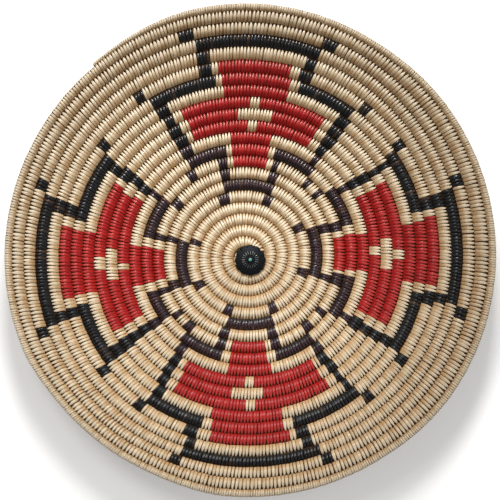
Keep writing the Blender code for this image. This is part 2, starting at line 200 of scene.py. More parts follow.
OUTLINES = {
    "east": {
        5: ((-19.5, -13.5), (22.5, 30.5)), 6: ((-17, 21.5),), 7: ((-18, -13.5), (14.5, 21)),
        8: ((-40, -36), (-18.5, -12.5), (14.5, 20), (38.5, 41.5)), 9: ((-35.5, -13), (15.5, 36.5)),
        10: ((-35, -31), (31.5, 35.5)), 11: ((-35.5, -30.5), (30.5, 34.5)),
        12: ((-35.5, -31), (30, 33.5)), 13: ((-35, -31), (30.5, 33)), 14: ((-34.5, -31), (30.5, 33)),
        15: ((-34, -14), (12.5, 33.5)), 16: ((-37.5, -34.5), (-16.5, -13), (12.5, 16), (33, 36)),
        17: ((-16, -13), (12.5, 16)), 18: ((-15.5, 16.5),), 19: ((-18.5, -15.5), (16.5, 19.5)),
    },
    "north": {
        5: ((-21, -15), (18, 27.5)), 6: ((-18.5, 19.5),), 7: ((-19, -13), (13.5, 20)),
        8: ((-38.5, -35), (-17, -12.5), (13.5, 19.5), (34, 38.5)), 9: ((-35, -13), (13, 34.5)),
        10: ((-35, -31.5), (29.5, 34.5)), 11: ((-35, -31), (29.5, 34.5)),
        12: ((-35.5, -30.5), (30, 34)), 13: ((-35, -31), (30.5, 34)), 14: ((-35, -31), (29.5, 34)),
        15: ((-34.5, -15), (12.5, 34)), 16: ((-38, -35), (-18, -14.5), (13, 16.5), (35, 37.5)),
        17: ((-17.5, -14.5), (13, 16.5)), 18: ((-17.5, 16.5),), 19: ((-21, -18), (16.5, 19.5)),
    },
    "west": {
        5: ((-22.5, -13.5), (23, 32)), 6: ((-16.5, 24),), 7: ((-17.5, -11.5), (16, 23)),
        8: ((-42.5, -36.5), (-17, -12.5), (18.5, 23.5), (36, 40)), 9: ((-37.5, -12), (19, 36.5)),
        10: ((-37.5, -34), (32.5, 37)), 11: ((-37.5, -33.5), (32, 37)),
        12: ((-38, -34), (32.5, 36.5)), 13: ((-38, -33.5), (32, 36.5)), 14: ((-37, -33.5), (32.5, 36.5)),
        15: ((-37, -13), (15, 36.5)), 16: ((-41, -38), (-17.5, -13.5), (15, 18.5), (36, 39)),
        17: ((-18, -14), (15.5, 18.5)), 18: ((-18, 18.5),), 19: ((-21.5, -19), (18.5, 21.5)),
    },
    "south": {
        5: ((-25, -16), (22.5, 30)), 6: ((-19, 22.5),), 7: ((-20, -13.5), (15, 20.5)),
        8: ((-43, -37.5), (-20, -14.5), (15, 20.5), (37.5, 42.5)), 9: ((-39, -15.5), (15.5, 38)),
        10: ((-38, -34.5), (33.5, 38)), 11: ((-38, -34), (33.5, 37.5)),
        12: ((-37.5, -33.5), (33.5, 37.5)), 13: ((-36.5, -33), (34, 37.5)), 14: ((-36, -32.5), (34.5, 37.5)),
        15: ((-35.5, -16.5), (14.5, 38)), 16: ((-38.5, -35.5), (-20.5, -16.5), (14, 18), (38, 41)),
        17: ((-19, -16), (14.5, 18)), 18: ((-19.5, 19),), 19: ((-22, -19), (18, 21)),
    },
}
LAST_AUBERGINE_ROW = 10
# Darkening of the outer rows about an off-centre palest place: partly age, partly painted shade for light
# falling off across the tray
PALEST_PLACE = (-0.026, -0.027, 0.0)
AGE_AND_SHADE_RADII = (0.108, 0.2155)
AGE_AND_SHADE_TINT = "#CBC9C7"
STRAW_ZONES = {"centre": (0, 7), "wall": (8, 13), "outer": (14, 17), "border": (18, 19), "rim": (20, 23)}

# Concho, stone and setting
CONCHO_RADIUS = 12.3 * MM
CONCHO_SHEET = 0.8 * MM
CONCHO_DOME = 2.6 * MM
CONCHO_LAND_RADIUS = 2.8 * MM
SCALLOPS = 12
SCALLOP_DEPTH = 0.8 * MM
RAYS = 20
RAY_INNER = 3.9 * MM
RAY_OUTER = 7.4 * MM
RAY_DEPTH = 0.34 * MM
STONE_RADIUS = 1.65 * MM
GIRDLE_SHARE = 0.22
BEZEL_LIP_RADIUS = 1.3 * MM
MERGE = 0.0025 * MM
SHELL_RINGS = 34
STEPS_PER_SCALLOP = 24
SCALLOP_BAND = 3.0 * MM
FLUTE_DEPTH = 0.35 * MM
RAY_SHARPNESS = 3
RAY_INNER_FADE = 0.5 * MM
RAY_OUTER_FADE = 0.9 * MM
RAY_POLISH = 0.85
EDGE_POLISH = 0.2
EDGE_SHARPNESS = 4
BEZEL_STEPS = 64
BEZEL_WALL = 0.4 * MM
BEZEL_SHOULDER_SHARE = 0.6
BEZEL_DRAWN_IN = 0.14 * MM
BEZEL_LIP_WIDTH = 0.1 * MM
BEZEL_LIP_RISES = (0.36 * MM, 0.32 * MM)
BEZEL_UNDERCUT = 0.04 * MM
BEZEL_UNDERCUT_SHARE = 0.8
BEZEL_POLISH = 0.3
STONE_RINGS = 11
STONE_STEPS = 40

# Sizes at which fine texture is drawn, larger than life so that it shows: leaf fibres are about 0.2 mm wide
# and tool marks about 0.05 mm apart. A wave texture's rings lie WAVE_SCALE divided by its scale apart.
FIBRE_WIDTH = 0.6 * MM
FIBRE_LENGTH = 6.0 * MM
STEM_WIDTH = 0.6 * MM
STEM_LENGTH = 20.0 * MM
TARNISH_WIDTH = 1.8 * MM
STONE_CLOUD_WIDTH = 1.2 * MM
STONE_WEB_WIDTH = 1.1 * MM
TOOL_MARK_WIDTH = 0.4 * MM
WAVE_SCALE = 0.314

# Where each effect on a fibre begins and is whole: its tone with its streaks, from the painted shade of the
# sheltered foot to clean, from clean to rubbed with a painted highlight, tones that took the dye badly, and
# from dull to satin
TONE_RANGE = (0.45, 1.55)
SHADED_TO_CLEAN = (0.0, 0.5)
CLEAN_TO_RUBBED_AND_LIT = (0.5, 1.0)
ODD_TONES = (0.93, 0.97)
SATIN_WEAR = (0.3, 0.8)
GROOVE_SHADE_SHARE = 0.65
DULL_ROUGHNESS = 0.5
GRAIN_ROUGHNESS = 0.08
PALE_BUNDLE_RADII = (35.0 * MM, 70.0 * MM)

# Each split leaf's finish: tints of its deep streaks, of the painted shade on its sheltered foot and of the
# painted shade in its groove, its roughness where it is rubbed, how strongly it reflects, and the colour of a
# few stitches that took the dye badly
SPLINTS = {
    "straw": {"name": "undyed_palm_splint", "deep": "#DCC8B0", "recess_shade": "#C9A372", "groove": "#84694D",
              "rough": 0.28, "level": 0.35},
    "red": {"name": "red_dyed_splint", "deep": "#D6B6C4", "recess_shade": "#CFA0A8", "groove": "#8A5A5A",
            "rough": 0.25, "level": 0.35},
    "black": {"name": "black_dyed_splint", "deep": "#C6C6CA", "recess_shade": "#C0C0C0", "groove": "#808080",
              "rough": 0.20, "level": 0.4, "odd": "#4A3524"},
    "aubergine": {"name": "aubergine_dyed_splint", "deep": "#B4A8A6", "recess_shade": "#9C9090",
                  "groove": "#706868", "rough": 0.17, "level": 0.5, "odd": "#5A3528"},
}

# View and light of the photograph
CAMERA_TILT = math.radians(5.7)
CAMERA_DISTANCE = 2.0
CAMERA_AIM = (0.8 * MM, 4.2 * MM, 5.8 * MM)
CAMERA_REACH = 20
FRAME_WIDTH = 397.2 * MM
WORLD_STRENGTH = 0.26
FLOOR_GLOW = 0.3
FLOOR_GRID = 4
FLOOR_HALF_SIZE = 3.0
FLOOR_GAP = 0.2 * MM

# Softboxes: name, place, size and power
LAMPS = (
    ("top", (0, 1.15, 1.0), 0.45, 20.5),
    ("left", (-0.55, 0.55, 1.25), 0.5, 4.5),
    ("right", (1.2, -0.2, 1.2), 1.6, 3.6),
)


def rgb(hex_colour):
    """A linear colour with alpha from an sRGB hex value."""
    shares = [int(hex_colour[i : i + 2], 16) / 255 for i in (1, 3, 5)]
    return tuple(v / 12.92 if v <= 0.04045 else ((v + 0.055) / 1.055) ** 2.4 for v in shares) + (1.0,)


def node(tree, kind, inputs=None, **settings):
    """Adds a node with its settings, and gives each named input a value or a link."""
    made = tree.nodes.new(kind)
    for name, value in settings.items():
        setattr(made, name, value)
    for name, value in (inputs or {}).items():
        if isinstance(value, bpy.types.NodeSocket):
            tree.links.new(value, made.inputs[name])
        else:
            made.inputs[name].default_value = value
    return made


def blend(tree, share, first, second, **settings):
    """A colour between two others, by a share that is a number or a link."""
    mixed = node(tree, "ShaderNodeMix", {"Factor": share, 6: first, 7: second}, data_type="RGBA", **settings)
    return mixed.outputs[2]


def ranged(tree, value, start=0.0, end=1.0, low=0.0, high=1.0):
    """A value between start and end taken to one between low and high, and held there."""
    inputs = {"Value": value, "From Min": start, "From Max": end, "To Min": low, "To Max": high}
    return node(tree, "ShaderNodeMapRange", inputs).outputs[0]


def worked(tree, operation, first, second):
    """Two values worked into one by an operation, each of them a number or a link."""
    return node(tree, "ShaderNodeMath", {0: first, 1: second}, operation=operation).outputs[0]


def noise(tree, place, scale, detail):
    """Cloudy noise at a place."""
    inputs = {"Vector": place, "Scale": scale, "Detail": detail}
    return node(tree, "ShaderNodeTexNoise", inputs).outputs["Fac"]


def stretched(tree, name, u_size, v_size):
    """A UV map with each of its axes divided by a size."""
    flat = node(tree, "ShaderNodeUVMap", uv_map=name).outputs["UV"]
    return node(tree, "ShaderNodeMapping", {"Vector": flat, "Scale": (1 / u_size, 1 / v_size, 1)}).outputs[0]


def attribute(tree, name):
    """A value stored on a mesh's points."""
    return node(tree, "ShaderNodeAttribute", attribute_name=name).outputs["Fac"]


def own_place(tree):
    """A point's place in its object's own frame."""
    return node(tree, "ShaderNodeTexCoord").outputs["Object"]


def add_relief(tree, shader, height, strength, distance):
    """Fine relief on a shader's surface, from a height between 0 and 1."""
    bump = node(tree, "ShaderNodeBump", {"Height": height, "Strength": strength, "Distance": distance})
    tree.links.new(bump.outputs[0], shader.inputs["Normal"])


def new_material(name):
    """A material with an empty Principled shader, its tree and the shader."""
    made = bpy.data.materials.new(name)
    made.use_nodes = True
    return made, made.node_tree, made.node_tree.nodes["Principled BSDF"]


def ease(values, start, end):
    """A smooth step from 0 at start to 1 at end."""
    share = np.clip((np.asarray(values, float) - start) / (end - start), 0, 1)
    return share * share * (3 - 2 * share)


def coil_tables():
    """Distances along the tray's profile with the radius and height of the coil's middle there."""
    along = np.arange(0, PITCH * (END_TURN + 1), PROFILE_STEP)
    wall = WALL_SLOPE * ease(along, FOOT_END, FOOT_END + WALL_BLEND)
    slope = wall + (FLARE_SLOPE - WALL_SLOPE) * ease(along, FLARE_START, FLARE_START + FLARE_BLEND)
    radius = np.cumsum(np.cos(slope)) * PROFILE_STEP - PROFILE_STEP
    rise = np.cumsum(np.sin(slope)) * PROFILE_STEP
    lift = CENTRE_LIFT * (1 - ease(along, CENTRE_FLAT, FOOT_START))
    return along, radius, COIL_HALF_HEIGHT + rise + lift


ALONG, RADIUS, HEIGHT = coil_tables()


def coil_slope(turn):
    """The coil's tilt, level until it has left the foot."""
    along = PITCH * turn
    inside = np.minimum(along + COIL_HALF_WIDTH, FOOT_START)
    outside = np.maximum(along - COIL_HALF_WIDTH / 2, FOOT_END)
    along = np.where(along < FOOT_START, inside, np.where(along > FOOT_END, outside, along))
    rise = np.interp(along + PROFILE_STEP, ALONG, HEIGHT) - np.interp(along - PROFILE_STEP, ALONG, HEIGHT)
    run = np.interp(along + PROFILE_STEP, ALONG, RADIUS) - np.interp(along - PROFILE_STEP, ALONG, RADIUS)
    return np.arctan2(rise, run)


def on_coil(turn, across, lift):
    """Places of points given by turn, distance outwards across the coil and height above its middle."""
    thinner = COIL_HALF_WIDTH - RIM_COIL_HALF_WIDTH + RIM_TUCK
    along = PITCH * turn - thinner * ease(turn, RIM_START, RIM_START + RIM_EASE_TURNS)
    # The tail follows the row inside it, which has begun to thin
    along = along - 2 * thinner * ease(turn - 1, RIM_START, RIM_START + RIM_EASE_TURNS)
    angle = math.radians(SEAM_DEGREES) + 2 * math.pi * (turn - FIRST_ROW_TURN)
    step = 2 * math.pi / LOW_PLACES
    apart = np.abs((angle - FIRST_LOW_PLACE + step / 2) % step - step / 2)
    raised = ease(apart, LOW_PLACE_HALF, LOW_PLACE_HALF + LOW_PLACE_RAMP)
    raised = raised * ease(along, CENTRE_FLAT, FOOT_START)
    slope = coil_slope(turn)
    radius = np.interp(along, ALONG, RADIUS) + across * np.cos(slope) - lift * np.sin(slope)
    height = np.interp(along, ALONG, HEIGHT) + RING_LIFT * raised
    height = height + across * np.sin(slope) + lift * np.cos(slope)
    # The outer rows are a little out of round
    drift = (DRIFT + NORTH_DRIFT * np.maximum(np.sin(angle), 0)) * np.sin(angle) ** 2
    row = (along + across) / PITCH
    drift = drift * ease(row, *DRIFT_TURNS)
    swell = EAST_SWELL * ease(np.cos(angle), *SWELL_COSINES) * ease(row, *SWELL_TURNS)
    pinch = PINCH * ease(np.cos(angle - math.radians(PINCH_DEGREES)), *PINCH_COSINES)
    radius = radius + swell - pinch * ease(row, *PINCH_TURNS)
    x = radius * np.cos(angle) + POLE[0]
    y = radius * np.sin(angle) + POLE[1] + drift
    return np.stack([x, y, height], axis=-1)


def coil_share(turn):
    """The coil's width at a turn as a share of its full width: tapered ends and a thinner rim."""
    begun = ease(turn, START_TURN, START_TURN + START_TAPER_TURNS)
    start = (COIL_HALF_WIDTH - START_HALF_WIDTH) * (1 - begun)
    thinner = (COIL_HALF_WIDTH - RIM_COIL_HALF_WIDTH) * ease(turn, RIM_START, RIM_START + RIM_EASE_TURNS)
    tail = (RIM_COIL_HALF_WIDTH - TAIL_HALF_WIDTH) * ease(turn, END_TURN - TAIL_TAPER_TURNS, END_TURN)
    middle = on_coil(turn, 0.0, 0.0)
    beside_post = np.hypot(middle[..., 0] - CONCHO_PLACE[0], middle[..., 1] - CONCHO_PLACE[1]) - POST_ROOM
    return np.minimum(COIL_HALF_WIDTH - start - thinner - tail, beside_post) / COIL_HALF_WIDTH


def end_shift(turn, share):
    """How far the tapering ends are drawn aside: the start outwards and the tail inwards."""
    thinner = RIM_COIL_HALF_WIDTH / COIL_HALF_WIDTH - share
    outward = np.where(turn < START_TURN + START_TAPER_TURNS, START_ASIDE * (1 - share), 0.0)
    return np.where(turn > END_TURN - TAIL_TAPER_TURNS, -TAIL_ASIDE * thinner, outward)


def stitch_turns():
    """The turn of every stitch along the coil, from the centre to the tail."""
    turns = []
    turn = START_TURN + FIRST_STITCH_TURNS
    while turn < END_TURN - LAST_STITCH_TURNS:
        turns.append(turn)
        spacing = float(np.interp(turn, SPACING_TURNS, SPACINGS)) * MM
        turn += spacing / (2 * math.pi * float(np.interp(PITCH * turn, ALONG, RADIUS)))
    return np.array(turns)


def row_and_angle(turn):
    """The row that a turn lies in and its angle about the pole."""
    past = turn - FIRST_ROW_TURN
    return math.floor(past) + 1, SEAM_DEGREES + 360 * (past % 1)


def within(stretches, degrees):
    """Whether an angle lies in one of a row's stretches."""
    return any(low <= degrees <= high for low, high in stretches)


def field_of(turn):
    """The fibre of the stitch at a turn and the motif that it belongs to."""
    row, angle = row_and_angle(turn)
    for side, axis in AXES.items():
        degrees = (angle - axis + 180) % 360 - 180
        if within(CROSSES[side].get(row, ()), degrees):
            return "red", side
        if within(OUTLINES[side].get(row, ()), degrees):
            return ("aubergine" if row <= LAST_AUBERGINE_ROW else "black"), side
    return "straw", next(zone for zone, (first, last) in STRAW_ZONES.items() if first <= row <= last)


def all_fields():
    """Every stitch's number in order, grouped by fibre and place."""
    turns = stitch_turns()
    fields = {}
    for number, turn in enumerate(turns):
        fields.setdefault(field_of(turn), []).append(number)
    return turns, fields


def stitch_blank():
    """One stitch as a plain ring about the coil's length: a low section, turned once round."""
    bm = bmesh.new()
    corners = [bm.verts.new((x, RING + t, 0)) for x, t in STITCH_SECTION]
    edges = [bm.edges.new((corners[i - 1], corners[i])) for i in range(len(corners))]
    bmesh.ops.spin(bm, geom=corners + edges, cent=(0, 0, 0), axis=(1, 0, 0),
                   angle=2 * math.pi, steps=STATIONS, use_merge=True)
    bmesh.ops.remove_doubles(bm, verts=bm.verts[:], dist=BLANK_MERGE)
    bmesh.ops.recalc_face_normals(bm, faces=bm.faces[:])
    mesh = bpy.data.meshes.new("stitch_blank")
    bm.to_mesh(mesh)
    bm.free()
    return mesh


def repeated(blank, count):
    """The blank repeated along X, a step apart, as one mesh."""
    guide = bpy.data.objects.new("stitch_row", blank)
    bpy.context.scene.collection.objects.link(guide)
    row = guide.modifiers.new("Row", "ARRAY")
    row.use_relative_offset = False
    row.use_constant_offset = True
    row.constant_offset_displace = (BLANK_STEP, 0, 0)
    row.count = count
    graph = bpy.context.evaluated_depsgraph_get()
    mesh = bpy.data.meshes.new_from_object(guide.evaluated_get(graph))
    bpy.data.objects.remove(guide)
    return mesh


def contour_normals():
    """Outward directions at the stations of a stitch, from the stations beside them."""
    across = np.array(STITCH_ACROSS)
    lift = np.array(WALL_LIFTS)
    run = np.roll(across, -1) - np.roll(across, 1)
    rise = np.roll(lift, -1) - np.roll(lift, 1)
    length = np.hypot(run, rise)
    return -rise / length, run / length


def lay_stitches(name, numbers, turns, finish, settings):
    """Stitches wrapped round the coil at their own turns, as one piece."""
    mesh = repeated(stitch_blank(), len(numbers))
    mesh.name = name
    places = np.empty(len(mesh.vertices) * 3)
    mesh.vertices.foreach_get("co", places)
    places = places.reshape(-1, 3)
    copy = np.round(places[:, 0] / BLANK_STEP).astype(int)
    side = places[:, 0] - BLANK_STEP * copy
    round_it = np.arctan2(places[:, 2], places[:, 1]) / (2 * math.pi / STATIONS)
    station = np.round(round_it).astype(int) % STATIONS
    depth = np.hypot(places[:, 1], places[:, 2]) - RING

    every = np.asarray(numbers)
    chance = np.random.default_rng(settings.seed)
    jitter = chance.uniform(-1, 1, (6, len(turns)))[:, every]
    spacing = np.interp(turns[every], SPACING_TURNS, SPACINGS) * MM
    middle = turns[every]
    share = coil_share(middle)
    per_metre = 1 / (2 * math.pi * np.interp(PITCH * middle, ALONG, RADIUS))

    # Station numbers run the other way round, from the inner side over the top
    order = (STATIONS - station) % STATIONS
    across = np.array(STITCH_ACROSS)[order] * MM
    on_wall = ease(middle, *WALL_STITCH_TURNS)[copy]
    lift = (np.array(CENTRE_LIFTS)[order] * (1 - on_wall) + np.array(WALL_LIFTS)[order] * on_wall) * MM
    out_across, out_lift = contour_normals()
    notch = np.clip((share[copy] - NOTCH_START_SHARE) / NOTCH_RANGE_SHARE, 0, 1)
    taper = np.array(CENTRE_WIDTH_SHARES)[order] * (1 - on_wall)
    taper = taper + np.array(WALL_WIDTH_SHARES)[order] * on_wall
    width = 1 - (1 - taper) * notch
    tip = np.maximum(across / TIP_REACH, 0)
    on_border = ease(middle, *BORDER_TURNS)[copy]
    on_rim = ease(middle, RIM_START, RIM_START + RIM_EASE_TURNS)[copy]
    deep = np.array(GROOVE_SHARES)[order] * (1 - on_border) + on_border
    past_centre = ease(middle, *CENTRE_TURNS)[copy]
    deep = deep * (past_centre + (1 - past_centre) * CENTRE_GROOVE_SHARE)
    deep = deep * (1 - (1 - RIM_GROOVE_SHARE) * on_rim)
    rounding = settings.thickness * deep * depth + settings.unevenness * jitter[0][copy]
    across = (across + settings.tip_play * tip * jitter[1][copy]) * share[copy]
    across = across + out_across[order] * rounding
    lift = lift * share[copy] + out_lift[order] * rounding
    half = spacing[copy] * (HALF_WIDTH_SHARE + WIDTH_PLAY_SHARE * jitter[2][copy])
    lift = lift + side * half * math.tan(settings.roll) * jitter[5][copy]
    slant = math.tan(settings.slant) + LEAN_PLAY * jitter[3][copy]
    offset = side * half * width - slant * across + PLACE_PLAY_SHARE * spacing[copy] * jitter[4][copy]
    across = across + end_shift(middle, share)[copy]
    mesh.vertices.foreach_set("co", on_coil(middle[copy] + offset * per_metre[copy], across, lift).ravel())
    # Laid round the coil, the blank is mirrored
    mesh.flip_normals()

    tone = mesh.attributes.new("tone", "FLOAT", "POINT")
    shade = np.random.default_rng(settings.seed + 1).random(len(turns))[every]
    tone.data.foreach_set("value", shade[copy])
    # Where painted shade darkens the grooves between stitches
    groove = mesh.attributes.new("groove", "FLOAT", "POINT")
    groove.data.foreach_set("value", np.where(depth < FOOT_DEPTH, np.minimum(deep, 1.0), 0.0))
    # How far each station is rubbed: it sets the roughness, and also the painted shade on the sheltered foot
    # and the painted highlight on the crest
    wear = mesh.attributes.new("wear", "FLOAT", "POINT")
    worn_and_lit = np.array(CENTRE_WEAR_AND_LIGHT_SHARES)[order] * (1 - on_wall) + np.array(WALL_WEAR_AND_LIGHT_SHARES)[order] * on_wall
    wear.data.foreach_set("value", worn_and_lit)
    add_fibre_map(mesh, side * half, order, shade[copy])
    mesh.update()
    mesh.shade_smooth()
    return finished(name, mesh, finish)


def add_fibre_map(mesh, sideways, order, shade):
    """A UV map in metres: across each stitch, and along it from its inner foot round the coil."""
    steps = np.hypot(np.diff(STITCH_ACROSS), np.diff(WALL_LIFTS))
    along = np.concatenate([[0], np.cumsum(steps)]) * MM
    corner = np.empty(len(mesh.loops), int)
    mesh.loops.foreach_get("vertex_index", corner)
    u = sideways + STREAK_PLAY[0] * shade
    v = along[order] + STREAK_PLAY[1] * shade
    flat = np.stack([u, v], axis=1)[corner]
    layer = mesh.uv_layers.new(name="fibre")
    layer.data.foreach_set("uv", flat.ravel())


def turned(profile, steps):
    """A line of points, each a radius and a height, turned once round the upright axis."""
    bm = bmesh.new()
    corners = [bm.verts.new((radius, 0, height)) for radius, height in profile]
    edges = [bm.edges.new(pair) for pair in zip(corners, corners[1:])]
    bmesh.ops.spin(bm, geom=corners + edges, cent=(0, 0, 0), axis=(0, 0, 1),
                   angle=2 * math.pi, steps=steps, use_merge=True)
    bmesh.ops.remove_doubles(bm, verts=bm.verts[:], dist=MERGE)
    return bm


def finished(name, mesh, finish):
    """An object at the origin for a finished mesh, riding on the basket."""
    made = bpy.data.objects.new(name, mesh)
    bpy.context.scene.collection.objects.link(made)
    mesh.materials.clear()
    mesh.materials.append(finish)
    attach(made, "root")
    return made


def tinted(colour, tint):
    """A linear colour multiplied by an sRGB tint."""
    return tuple(a * b for a, b in zip(colour, rgb(tint)))


def fibre_body(tree, streak, tone, wear, body, worn_and_lit, deep, recess_shade):
    """A fibre's colour: streaked, of its stitch's own tone, with painted shade where sheltered, and paler
    where rubbed, partly from rubbing and partly a painted highlight.
    """
    spread = ranged(tree, worked(tree, "ADD", streak, tone), *TONE_RANGE)
    plain = blend(tree, spread, body, tinted(body, deep))
    # Painted shade on the sheltered foot, where the stitch is least rubbed
    risen = blend(tree, ranged(tree, wear, *SHADED_TO_CLEAN), tinted(body, recess_shade), plain)
    # Paler on the rubbed crest: partly rubbing, partly a painted highlight
    return blend(tree, ranged(tree, wear, *CLEAN_TO_RUBBED_AND_LIT), risen, worn_and_lit)


def aged_and_shaded(tree, colour):
    """A colour darkened in the outer rows, those on one side most: partly age, partly painted shade for light
    falling off across the tray.
    """
    inputs = {"Vector": own_place(tree), "Location": PALEST_PLACE}
    shifted = node(tree, "ShaderNodeMapping", inputs, vector_type="TEXTURE")
    radius = node(tree, "ShaderNodeVectorMath", {0: shifted.outputs[0]}, operation="LENGTH")
    grey = blend(tree, ranged(tree, radius.outputs["Value"], *AGE_AND_SHADE_RADII), (1, 1, 1, 1), rgb(AGE_AND_SHADE_TINT))
    return blend(tree, 1.0, colour, grey, blend_type="MULTIPLY")


def splint(name, body, worn_and_lit, deep, recess_shade, groove, rough, level, odd=None):
    """Split leaf fibre, dyed or plain: satin, streaked along its length, each stitch of its own tone."""
    body = tuple(body)
    made, tree, shader = new_material(name)
    tone = attribute(tree, "tone")
    edge = attribute(tree, "groove")
    wear = attribute(tree, "wear")
    streak = noise(tree, stretched(tree, "fibre", FIBRE_WIDTH, FIBRE_LENGTH), scale=1.0, detail=3.0)
    colour = aged_and_shaded(tree, fibre_body(tree, streak, tone, wear, body, tuple(worn_and_lit), deep, recess_shade))
    if odd:
        # A few stitches took the dye badly
        patch = worked(tree, "MULTIPLY", ranged(tree, tone, *ODD_TONES), streak)
        colour = blend(tree, patch, colour, rgb(odd))
    # Painted shade in the grooves between stitches
    shaded = blend(tree, worked(tree, "MULTIPLY", edge, GROOVE_SHADE_SHARE), colour, tinted(body, groove))
    tree.links.new(shaded, shader.inputs["Base Color"])
    # Dull where it is sheltered, satin where hands and cloths have rubbed it
    base = ranged(tree, wear, *SATIN_WEAR, low=DULL_ROUGHNESS, high=rough)
    gloss = worked(tree, "ADD", base, ranged(tree, streak, low=-GRAIN_ROUGHNESS, high=GRAIN_ROUGHNESS))
    tree.links.new(gloss, shader.inputs["Roughness"])
    add_relief(tree, shader, streak, strength=0.35, distance=0.2 * MM)
    shader.inputs["IOR"].default_value = 1.5
    shader.inputs["Specular IOR Level"].default_value = level
    return made


def splint_of(colours, fibre):
    """The finish of one fibre, in its colours from the panel."""
    return splint(body=getattr(colours, fibre), worn_and_lit=getattr(colours, f"{fibre}_worn_and_lit"), **SPLINTS[fibre])


def grass_bundle():
    """Dry grass stems with fine lengthwise stalks, dull, and coloured dark as painted shade between the
    stitches.
    """
    made, tree, shader = new_material("dry_grass_bundle")
    stem = noise(tree, stretched(tree, "stems", STEM_LENGTH, STEM_WIDTH), scale=1.0, detail=2.0)
    # Painted shade, lighter towards the centre, where the stitches cover the bundle less deeply
    radius = node(tree, "ShaderNodeVectorMath", {0: own_place(tree)}, operation="LENGTH")
    outward = ranged(tree, radius.outputs["Value"], *PALE_BUNDLE_RADII)
    low = blend(tree, outward, rgb("#9C7444"), rgb("#36220F"))
    high = blend(tree, outward, rgb("#C89C68"), rgb("#604327"))
    tree.links.new(blend(tree, stem, low, high), shader.inputs["Base Color"])
    add_relief(tree, shader, stem, strength=0.6, distance=0.3 * MM)
    shader.inputs["Roughness"].default_value = 0.85
    shader.inputs["Specular IOR Level"].default_value = 0.1
    return made


def blackened_silver():
    """Stamped silver blackened in its hollows: near black, brighter where the high places are rubbed."""
    made, tree, shader = new_material("blackened_silver")
    cloud = noise(tree, own_place(tree), scale=1 / TARNISH_WIDTH, detail=4.0)
    rub = worked(tree, "MULTIPLY", attribute(tree, "polish"), ranged(tree, cloud, low=0.4, high=1.2))
    amount = ranged(tree, rub, start=0.3, end=0.75)
    dark = blend(tree, cloud, rgb("#141618"), rgb("#25282B"))
    tree.links.new(blend(tree, amount, dark, rgb("#B5B3AE")), shader.inputs["Base Color"])
    tree.links.new(ranged(tree, amount, low=0.55, high=0.38), shader.inputs["Roughness"])
    tree.links.new(ranged(tree, amount, low=0.6, high=1.0), shader.inputs["Metallic"])
    shader.inputs["Specular IOR Level"].default_value = 0.15
    add_relief(tree, shader, cloud, strength=0.25, distance=0.1 * MM)
    return made


def turquoise_stone():
    """Polished turquoise: waxy blue green with a little brown web."""
    made, tree, shader = new_material("polished_turquoise")
    place = own_place(tree)
    cloud = noise(tree, place, scale=1 / STONE_CLOUD_WIDTH, detail=5.0)
    inputs = {"Vector": place, "Scale": 1 / STONE_WEB_WIDTH}
    cells = node(tree, "ShaderNodeTexVoronoi", inputs, feature="DISTANCE_TO_EDGE")
    web = ranged(tree, cells.outputs[0], end=0.05, low=0.5, high=0.0)
    body = blend(tree, cloud, rgb("#3C9A8B"), rgb("#78C4B6"))
    tree.links.new(blend(tree, web, body, rgb("#3D4A38")), shader.inputs["Base Color"])
    shader.inputs["Roughness"].default_value = 0.22
    shader.inputs["Coat Weight"].default_value = 0.3
    return made


def turned_steel():
    """Turned and nickelled steel: fine rings left by the tool, a little dull."""
    made, tree, shader = new_material("turned_steel")
    inputs = {"Vector": own_place(tree), "Location": (-CONCHO_PLACE[0], -CONCHO_PLACE[1], 0)}
    centred = node(tree, "ShaderNodeMapping", inputs).outputs[0]
    inputs = {"Vector": centred, "Scale": WAVE_SCALE / TOOL_MARK_WIDTH, "Distortion": 0.6}
    wave = node(tree, "ShaderNodeTexWave", inputs, wave_type="RINGS", rings_direction="Z")
    rings = wave.outputs["Fac"]
    tree.links.new(blend(tree, rings, rgb("#A9A8A4"), rgb("#C4C3BF")), shader.inputs["Base Color"])
    tree.links.new(ranged(tree, rings, low=0.3, high=0.42), shader.inputs["Roughness"])
    add_relief(tree, shader, rings, strength=0.2, distance=0.05 * MM)
    shader.inputs["Metallic"].default_value = 1.0
    return made


def seen_directly(tree, *kinds):
    """1 where a ray is of one of these kinds, and 0 elsewhere."""
    path = node(tree, "ShaderNodeLightPath")
    seen = path.outputs[kinds[0]]
    for kind in kinds[1:]:
        seen = worked(tree, "MAXIMUM", seen, path.outputs[kind])
    return seen


def pale_floor():
    """Matt white paint, seen as white by the camera and in reflections, with the basket's shadow kept."""
    made, tree, shader = new_material("pale_floor")
    shader.inputs["Base Color"].default_value = rgb("#F4F3F1")
    shader.inputs["Roughness"].default_value = 0.9
    seen = seen_directly(tree, "Is Camera Ray", "Is Glossy Ray", "Is Transmission Ray")
    shader.inputs["Emission Color"].default_value = (1, 1, 1, 1)
    tree.links.new(worked(tree, "MULTIPLY", seen, FLOOR_GLOW), shader.inputs["Emission Strength"])
    return made


class StitchSettings(bpy.types.PropertyGroup):
    thickness: FloatProperty(name="Thickness", description="Depth of the groove between two stitches",
                             default=0.32 * MM, min=0.0, subtype="DISTANCE", unit="LENGTH")
    slant: FloatProperty(name="Slant", description="How far the stitches lean from straight across the coil",
                         default=math.radians(5), subtype="ANGLE", unit="ROTATION")
    roll: FloatProperty(name="Roll", description="How far a stitch may be turned about its own length",
                        default=math.radians(9), subtype="ANGLE", unit="ROTATION")
    unevenness: FloatProperty(name="Unevenness", description="How far a stitch lies above or below the next",
                              default=0.07 * MM, min=0.0, subtype="DISTANCE", unit="LENGTH")
    tip_play: FloatProperty(name="Tip play", description="How far the outer tips wander",
                            default=0.22 * MM, min=0.0, subtype="DISTANCE", unit="LENGTH")
    seed: IntProperty(name="Seed", description="Start of the random tones and wander", default=21)


